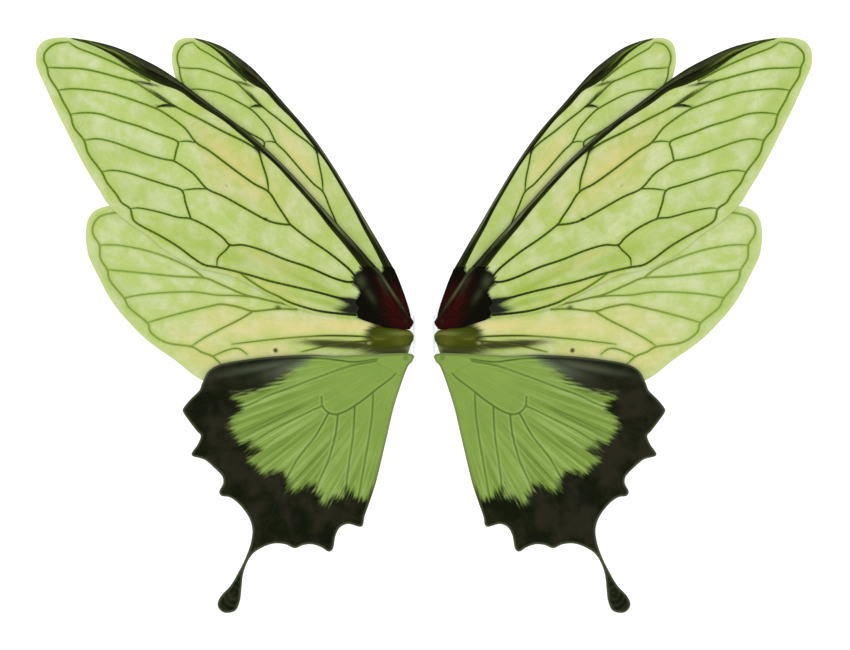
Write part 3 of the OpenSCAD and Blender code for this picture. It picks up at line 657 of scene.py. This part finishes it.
def tail_material():
    """Printed velvet-like fabric: green with fine rays, painted highlights and shade along its pleats and beside
    its ribs, and a feathered black-green border.
    """
    n = Nodes("tail_fabric")
    place = n.place()
    fibre = n.rays(14.0, 0.02, 4, 0.65)
    # Broad streaks fanning out from the root, which carry painted highlights and painted shade, as on pleats.
    painted_fold_shading = n.rays(2.4, 0.004, 2, 0.5, 5.0)
    line = n.rays(5.0, 0.003, 1, 0.4, 9.0)
    feather = n.rays(7.0, 0.04, 3, 0.6, 3.0)
    weave = n.noise(place, 1.2, 3, 0.6)
    cloud = n.noise(place, 0.03, 3, 0.6)
    outer = n.between(n.field("reach"), 80, 200)
    green = n.mix(n.between(fibre, 0.3, 0.7), rgb(124, 152, 67), rgb(140, 167, 82))
    # Painted highlight on one side of each broad streak and painted shade on the other, towards the border only.
    green = n.mix(n.times(n.between(painted_fold_shading, 0.52, 0.6, 0.0, 0.55), outer), green, rgb(160, 186, 110))
    green = n.mix(n.times(n.between(painted_fold_shading, 0.42, 0.49, 0.5, 0.0), outer), green, rgb(98, 124, 48))
    green = n.mix(n.between(cloud, 0.3, 0.7, 0.0, 0.45), green, rgb(118, 146, 66))
    thin = n.near(line, 0.5, 0.0, 0.03)
    green = n.mix(n.times(thin, n.times(outer, 0.5)), green, rgb(70, 92, 32))
    # Painted highlight: a pale band on each side of a rib, about 1 to 4 mm from its line, where light would catch
    # the raised rib; stronger further from the root.
    painted_highlight = n.times(n.near(n.field("vein"), 2.6, 0.0, 1.6), n.between(n.field("reach"), 60, 150, 0.1, 0.4))
    green = n.mix(painted_highlight, green, rgb(164, 189, 114))
    green = n.mix(n.between(n.field("vein"), 0.4, 2.2, 0.6, 0.0), green, rgb(82, 108, 38))
    black = n.mix(n.between(cloud, 0.35, 0.65), rgb(18, 22, 8), rgb(40, 38, 27))
    black = n.mix(n.between(fibre, 0.5, 0.75, 0.0, 0.3), black, rgb(38, 48, 22))
    black = n.mix(n.times(n.field("rings"), 0.3), black, rgb(74, 86, 50))
    black = n.mix(n.field("haze"), black, rgb(106, 116, 92))
    border = n.plus(n.field("border"), n.sway(feather, 30.0))
    colour = n.mix(n.between(border, -7.0, 6.0), green, black)
    colour = n.mix(n.between(n.field("rim"), 0.6, 4.0, 0.55, 0.0), colour, rgb(92, 102, 74))
    n.bump(n.plus(n.times(fibre, 0.5), n.times(weave, 0.3)), 0.4, 0.0005)
    n.set(Base_Color=colour, Roughness=n.between(weave, 0.3, 0.7, 0.7, 0.9), Specular_IOR_Level=0.03)
    return n.material


def tail_vein_material():
    """The tail's ribs: fine darker green lines, lost in the black-green border."""
    n = Nodes("tail_vein")
    grain = n.noise(n.place(), 0.5, 4, 0.65)
    green = n.mix(n.between(grain, 0.35, 0.7), rgb(92, 120, 42), rgb(120, 148, 66))
    green = n.mix(n.field("dusk"), green, rgb(70, 94, 34))
    colour = n.mix(n.between(n.field("border"), -6, 4), green, rgb(26, 31, 15))
    n.bump(grain, 0.3, 0.0003)
    n.set(Base_Color=colour, Roughness=n.between(grain, 0.3, 0.7, 0.6, 0.75), Specular_IOR_Level=0.1)
    return n.material


def clear_material():
    """Clear acrylic with faint moulding marks."""
    n = Nodes("clear_acrylic")
    grain = n.noise(n.place(), 0.15, 3, 0.5)
    colour = n.mix(n.between(grain, 0.35, 0.65), rgb(250, 252, 253), rgb(243, 248, 250))
    n.bump(grain, 0.04, 0.0001)
    n.set(Base_Color=colour, Roughness=n.between(grain, 0.3, 0.7, 0.12, 0.2), Alpha=0.12)
    return n.material


def steel_material():
    """Bright drawn steel, for the push nuts."""
    n = Nodes("bright_steel")
    grain = n.noise(n.place((1, 1, 6)), 0.9, 4, 0.6)
    colour = n.mix(n.between(grain, 0.3, 0.7), rgb(182, 186, 190), rgb(214, 216, 218))
    n.bump(grain, 0.1, 0.0001)
    n.set(Base_Color=colour, Roughness=n.between(grain, 0.3, 0.7, 0.22, 0.38), Metallic=1.0)
    return n.material


def hardware_material(name, dark, pale, grain_scale, **extra):
    """Painted rivet heads, and the nylon of washers and spacers."""
    n = Nodes(name)
    grain = n.noise(n.place(), grain_scale, 4, 0.6)
    colour = n.mix(n.between(grain, 0.3, 0.7), dark, pale)
    n.bump(grain, 0.2, 0.0002)
    n.set(Base_Color=colour, Roughness=n.between(grain, 0.3, 0.7, 0.45, 0.6), **extra)
    return n.material


# ------------------------------ the blades

# How far apart the points of films, of ribs, roots and the tail panel, and of veins lie.
FILM_SPACING, RIB_SPACING, VEIN_SPACING = 2.6, 2.0, 2.2
# The roots' faces lie this far under the rivet heads, and the backs of roots and spars this far inside
# the film's back face.
HEAD_GAP, BACK_INSET = 0.06, 0.05
# How strongly a film bellies forward, and how far from a vein it has done most of that.
BELLY, BELLY_REACH = 0.14, 9
# Within this reach of the pivot a vein is at its darkest.
DARK_REACH = 60
# Below this height a forewing's pale rim fades: its points count as 1 mm further in for each RIM_FADE mm.
RIM_FADE_Z, RIM_FADE = 110, 4


def polar(flat, pivot):
    """The direction and the distance from a pivot, for rays and fibres."""
    d = flat - np.array(pivot)
    return np.arctan2(d[:, 1], d[:, 0]) * 10, np.linalg.norm(d, axis=1)


def vein_distance(flat, veins, rear):
    """The distance of each point from the nearest vein."""
    best = np.full(len(flat), 1e9)
    for _, _, route in veins:
        best = np.minimum(best, distance_to(flat, narrowed(smooth(route, VEIN_STEPS), rear)))
    return best


def unnarrowed(flat, rear):
    """The rear forewing's points at about their places on the front one, where the patches are written."""
    made = flat.copy()
    if rear:
        made[:, 0] = made[:, 0] / REAR_SHARE
    return made


def film_fields(outline, root, veins, rear, pivot, rim_fades, warm, lush, dusk):
    """What a film's material needs to know at each point."""
    def fields(flat):
        drawn = unnarrowed(flat, rear)
        foot = np.where(inside(flat, root), 0, distance_to(flat, root, closed=True))
        ray, reach = polar(flat, pivot)
        faded = np.clip((RIM_FADE_Z - flat[:, 1]) / RIM_FADE, 0, 10) * rim_fades
        return {
            "vein": vein_distance(flat, veins, rear),
            "rim": distance_to(flat, outline, closed=True) + faded,
            "warm": patches(drawn, warm), "lush": patches(drawn, lush), "dusk": patches(drawn, dusk),
            "foot": foot, "ray": ray, "reach": reach,
        }
    return fields


def film_relief(flat, values):
    """Cells that belly slightly between their veins, within the gap to the next blade."""
    belly = 1 - np.exp(-values["vein"] / BELLY_REACH)
    ripple = np.sin(flat[:, 0] * 0.11 + flat[:, 1] * 0.05) * np.sin(flat[:, 1] * 0.09 - flat[:, 0] * 0.03)
    return BELLY * belly * (0.4 + ripple)


def vein_fields(reach_pale, rear, pivot, dusk):
    """How dark a vein is: older towards the pivot, but fresh along the thin part of the trailing edge."""
    def fields(flat):
        drawn = unnarrowed(flat, rear)
        age = np.clip(1 - (polar(flat, pivot)[1] - DARK_REACH) / reach_pale, 0, 1)
        return {"age": age * (1 - patches(drawn, FORE_FRESH)), "dusk": patches(drawn, dusk)}
    return fields


def root_fields(pivot, glow, spots):
    """What a root's material needs to know at each point."""
    def fields(flat):
        ray, reach = polar(flat, pivot)
        return {"ray": ray, "reach": reach, "glow": patches(flat, glow), "spots": patches(flat, spots)}
    return fields


def spar_outline(rear):
    """The spar: the blade's leading edge above the foot, and its own lower edge back down."""
    leading = smooth(FORE_LEADING, OUTLINE_STEPS)
    upper = leading[leading[:, 1] > SPAR_FOOT[0][1]]
    lower = smooth(FORE_SPAR_LOWER, OUTLINE_STEPS)
    whole = np.vstack([[SPAR_FOOT[0]], upper, [FORE_OUTER[0]], lower, [SPAR_FOOT[1]]])
    return narrowed(whole, rear)


def spar_fields(rear):
    """How far along the spar a point lies, and how far across it from the leading side, 0 to 1."""
    lower_edge = FORE_SPAR_LOWER + [SPAR_FOOT[1], (76, 78)]
    leading, lower = (narrowed(smooth(edge, ROOT_STEPS), rear) for edge in (FORE_LEADING, lower_edge))

    def fields(flat):
        drawn = unnarrowed(flat, rear)
        from_leading, from_lower = distance_to(flat, leading), distance_to(flat, lower)
        return {"along": np.linalg.norm(drawn - np.array(SPAR_START), axis=1),
                "bank": from_leading / np.maximum(from_leading + from_lower, 1e-6)}
    return fields


FORE_GLOW = [(42, 38, 32, 11, 60, 1.0), (31, 17, 22, 11, 20, 0.95), (56, 62, 20, 5, 62, 0.5),
             (34, 44, 22, 4, 58, 0.5)]
REAR_LUSH = [(130, 120, 160, 60, 50, 0.5), (400, 330, 120, 40, 55, 0.25)]
REAR_GLOW = [(30, 44, 30, 9, 60, 1.0), (24, 24, 20, 8, 60, 1.0)]
HIND_GLOW = [(30, -8, 14, 9, 0, 0.7), (60, -4, 24, 4, 2, 0.7)]
FORE_SPOTS = [(82, 70, 10, 6, 62, 0.5), (70, 52, 12, 4, 58, 0.35), (45, 61.5, 30, 1.5, 56, 1.2),
              (54, 66, 14, 2.5, 62, 0.25), (61, 85, 9, 2.4, 52, 0.7)]
HIND_SPOTS = [(72, -10, 3, 2.5, 0, 0.9), (30, 2, 16, 3, 0, 0.35)]

fore_film = film_material("fore_film", rgb(10, 12, 2), 4.0)
hind_film = film_material("hind_film", rgb(54, 58, 2), 11.0)
fore_vein = vein_material("fore_vein", rgb(100, 128, 14), rgb(62, 80, 6), rgb(20, 24, 3))
hind_vein = vein_material("hind_vein", rgb(132, 154, 62), rgb(118, 132, 40), rgb(74, 78, 12))
spar = spar_material()
ember = root_material("ember_root", rgb(8, 7, 1), rgb(46, 4, 2), rgb(84, 26, 16), rgb(84, 92, 60))
olive = root_material("olive_root", rgb(62, 70, 8), rgb(92, 94, 30), rgb(124, 126, 48), rgb(176, 178, 104))


def build_forewing(blade, rear):
    """A forewing's film, veins, spar and root."""
    edge = smooth(FORE_LEADING + FORE_OUTER + FORE_TRAILING, OUTLINE_STEPS, closed=True)
    outline = narrowed(edge, rear)
    front, back = depth(f"{blade}_film")
    middle = (front + back) / 2
    root = narrowed(smooth(FORE_ROOT, ROOT_STEPS, closed=True), rear)
    lush = FORE_LUSH + (REAR_LUSH if rear else [])
    fields = film_fields(outline, root, FORE_VEINS, rear, FORE_PIVOT, True, FORE_WARM, lush, FORE_DUSK)
    shape = sheet_shape(outline, FILM_SPACING, middle, film_relief, fields, FORE_PIVOT)
    add_pair(shape, f"{blade}_film", fore_film)
    shape = tube_shape(FORE_VEINS, rear, middle, 0.75, 0.45, VEIN_SPACING,
                       vein_fields(420, rear, FORE_PIVOT, FORE_DUSK), 0.8 if rear else 0.95)
    add_pair(shape, f"{blade}_veins", fore_vein)
    rib_front, _ = depth(f"{blade}_spar")
    shape = pad_shape(spar_outline(rear), RIB_SPACING, rib_front, back - BACK_INSET, 4.0,
                      spar_fields(rear), FORE_PIVOT)
    add_pair(shape, f"{blade}_spar", spar)
    shape = pad_shape(root, RIB_SPACING, rib_front + HEAD_GAP, back - BACK_INSET, 3.0,
                      root_fields(FORE_PIVOT, REAR_GLOW if rear else FORE_GLOW, FORE_SPOTS), FORE_PIVOT)
    add_pair(shape, f"{blade}_root", ember)


def build_hindwing():
    """The hindwing's film, veins and root."""
    outline = smooth(HIND_OUTLINE, OUTLINE_STEPS, closed=True)
    front, back = depth("hindwing_film")
    middle = (front + back) / 2
    root = smooth(HIND_ROOT, ROOT_STEPS, closed=True)
    fields = film_fields(outline, root, HIND_VEINS, False, HIND_PIVOT, False,
                         HIND_WARM, HIND_LUSH, HIND_DUSK)
    shape = sheet_shape(outline, FILM_SPACING, middle, film_relief, fields, HIND_PIVOT)
    add_pair(shape, "hindwing_film", hind_film)
    shape = tube_shape(HIND_VEINS, False, middle, 0.7, 0.4, VEIN_SPACING,
                       vein_fields(260, False, HIND_PIVOT, HIND_DUSK), 0.85)
    add_pair(shape, "hindwing_veins", hind_vein)
    shape = pad_shape(root, RIB_SPACING, depth("hindwing_root")[0] + HEAD_GAP, back - BACK_INSET, 3.0,
                      root_fields(HIND_PIVOT, HIND_GLOW, HIND_SPOTS), HIND_PIVOT)
    add_pair(shape, "hindwing_root", olive)


def tail_border(flat):
    """How far outside the green centre a point lies, in mm; negative inside it."""
    green = smooth(TAIL_GREEN, VEIN_STEPS, closed=True)
    away = distance_to(flat, green, closed=True)
    return np.where(inside(flat, green), -away, away)


# Where the tail's rays fan out from, and the middle of the rings on its bulb, which start below a height.
TAIL_CENTRE = (22, -26)
BULB_CENTRE, BULB_TOP = (247, -335), -268
TAIL_HAZE = [(150, -38, 46, 9, -14, 0.9), (112, -29, 30, 3, 0, 0.5), (200, -40, 60, 5, -10, 0.4)]
TAIL_RIB_DUSK = [(90, -92, 70, 30, -40, 0.8), (110, -34, 60, 6, 0, 1.0)]


def bulb_rings(flat):
    """Fine pale rings on the end of the tail, from 0 to 1."""
    away = np.hypot((flat[:, 0] - BULB_CENTRE[0]) / 0.8, flat[:, 1] - BULB_CENTRE[1])
    return (0.5 + 0.5 * np.cos(away * 0.75)) ** 6 * np.clip((BULB_TOP - flat[:, 1]) / 20, 0, 1)


def tail_fields(outline):
    """What the tail panel's material needs to know at each point."""
    def fields(flat):
        ray, reach = polar(flat, TAIL_CENTRE)
        return {
            "vein": vein_distance(flat, TAIL_VEINS, False), "border": tail_border(flat),
            "rim": distance_to(flat, outline, closed=True), "haze": patches(flat, TAIL_HAZE),
            "ray": ray, "reach": reach, "rings": bulb_rings(flat),
        }
    return fields


def tail_relief(flat, values):
    """Ribs that stand forward, with shallow pleats fanning between them."""
    rib = np.exp(-(values["vein"] / 2.2) ** 2)
    pleat = np.sin(values["ray"] * 6.0) * np.clip(values["reach"] / 200, 0, 1)
    hold = np.clip(values["rim"] / 6, 0, 1) * np.clip((values["reach"] - 25) / 60, 0, 1)
    return (0.4 * rib + 0.4 * pleat + 0.45) * hold


def tail_rib_fields(flat):
    """What the tail ribs' material needs to know at each point."""
    return {"border": tail_border(flat), "dusk": patches(flat, TAIL_RIB_DUSK)}


def build_tail_wing():
    """The tail wing's panel, ribs and root."""
    outline = smooth(TAIL_OUTLINE, OUTLINE_STEPS, closed=True)
    front, back = depth("tail_wing_panel")
    middle = (front + back) / 2
    fields = tail_fields(outline)
    cloth = tail_material()
    shape = sheet_shape(outline, RIB_SPACING, middle, tail_relief, fields, TAIL_PIVOT)
    add_pair(shape, "tail_wing_panel", cloth)
    shape = tube_shape(TAIL_VEINS, False, middle, 0.3, 0.3, VEIN_SPACING, tail_rib_fields, 0.45,
                       lambda path: tail_relief(path, fields(path)))
    add_pair(shape, "tail_wing_veins", tail_vein_material())
    root = smooth(TAIL_ROOT, ROOT_STEPS, closed=True)
    shape = pad_shape(root, RIB_SPACING, depth("tail_wing_root")[0] + HEAD_GAP, back - BACK_INSET, 7.0,
                      fields, TAIL_PIVOT)
    add_pair(shape, "tail_wing_root", cloth)


build_forewing("rear_forewing", True)
build_forewing("front_forewing", False)
build_hindwing()
build_tail_wing()

# ------------------------------ the CAD pieces that stay

clear, steel = clear_material(), steel_material()
nylon = hardware_material("black_nylon", rgb(22, 22, 20), rgb(40, 40, 36), 1.4)
RIVET_COLOURS = {"fore_rivet": (rgb(24, 8, 4), rgb(44, 14, 9)),
                 "hind_rivet": (rgb(64, 72, 12), rgb(88, 92, 28)),
                 "tail_rivet": (rgb(96, 122, 46), rgb(124, 150, 72))}
FINISHES = {"back_plate": clear, "fixed_hinge_leaf": clear, "hinge_pin": clear, "hinge_screws": clear,
            "root_bracket": clear, "push_nut": steel, "washer": nylon, "spacer": nylon}
for rivet, (dark, pale) in RIVET_COLOURS.items():
    FINISHES[rivet] = hardware_material(rivet, dark, pale, 0.9, Specular_IOR_Level=0.1)
for name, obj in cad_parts.items():
    for ending, finish in FINISHES.items():
        if name.endswith(ending):
            obj.data.materials.clear()
            obj.data.materials.append(finish)

# ------------------------------ studio

# The floor lies this far below the wings, and the backdrop stands behind the cameras that look from behind.
FLOOR_DROP = 0.06
FLOOR_HALF, CURVE_R, BACK_Y, WALL_H = 16.0, 2.0, 15.0, 12.0
CURVE_STEPS = 16
# Each lamp's place, size in metres and power in watts.
LAMPS = {"key": ((-1.6, -2.6, 1.9), 1.6, 9),
         "fill": ((2.2, -2.4, 0.6), 2.0, 4),
         "rim_light": ((0.6, 2.2, 1.6), 1.5, 5)}


def build_stage():
    """A pale floor that curves up into a backdrop."""
    stage_z = cad_box[0][2] - FLOOR_DROP
    profile = [(-FLOOR_HALF, stage_z), (BACK_Y - CURVE_R, stage_z)]
    for k in range(1, CURVE_STEPS + 1):
        turn = math.pi / 2 * k / CURVE_STEPS
        y = BACK_Y - CURVE_R + CURVE_R * math.sin(turn)
        profile.append((y, stage_z + CURVE_R * (1 - math.cos(turn))))
    profile.append((BACK_Y, stage_z + WALL_H))
    points = [(x, y, z) for y, z in profile for x in (-FLOOR_HALF, FLOOR_HALF)]
    faces = [(2 * k, 2 * k + 1, 2 * k + 3, 2 * k + 2) for k in range(len(profile) - 1)]
    mesh = bpy.data.meshes.new("stage")
    mesh.from_pydata(points, [], faces)
    mesh.polygons.foreach_set("use_smooth", [True] * len(faces))
    n = Nodes("stage_paper")
    n.set(Base_Color=(0.94, 0.94, 0.94, 1), Roughness=0.9, Specular_IOR_Level=0.1,
          Emission_Color=(1, 1, 1, 1), Emission_Strength=0.22)
    mesh.materials.append(n.material)
    obj = bpy.data.objects.new("stage", mesh)
    bpy.context.scene.collection.objects.link(obj)


def add_lamp(name, place, size, power):
    """A square lamp that shines on the middle of the wings."""
    data = bpy.data.lights.new(name, "AREA")
    data.size, data.energy = size, power
    obj = bpy.data.objects.new(name, data)
    obj.location = place
    obj.rotation_euler = (-Vector(place)).to_track_quat("-Z", "Y").to_euler()
    bpy.context.scene.collection.objects.link(obj)


build_stage()
world = bpy.data.worlds.new("studio")
bpy.context.scene.world = world
world.use_nodes = True
world.node_tree.nodes["Background"].inputs["Color"].default_value = (1, 1, 1, 1)
world.node_tree.nodes["Background"].inputs["Strength"].default_value = 0.9
for lamp, settings in LAMPS.items():
    add_lamp(lamp, *settings)

# The camera looks straight on, and sees this many mm across at the wings.
VIEW_WIDTH, LENS, SENSOR = 1105, 120, 36
CAMERA_X, CAMERA_Z, WING_Y = 0.0013, 0.013, -0.011
camera_data = bpy.data.cameras.new("camera")
camera_data.lens, camera_data.sensor_width = LENS, SENSOR
camera = bpy.data.objects.new("camera", camera_data)
camera_distance = VIEW_WIDTH * MM * LENS / SENSOR
camera.location = (CAMERA_X, WING_Y - camera_distance, CAMERA_Z)
camera.rotation_euler = (math.pi / 2, 0, 0)
bpy.context.scene.collection.objects.link(camera)
bpy.context.scene.camera = camera
bpy.context.scene.view_settings.view_transform = "Standard"
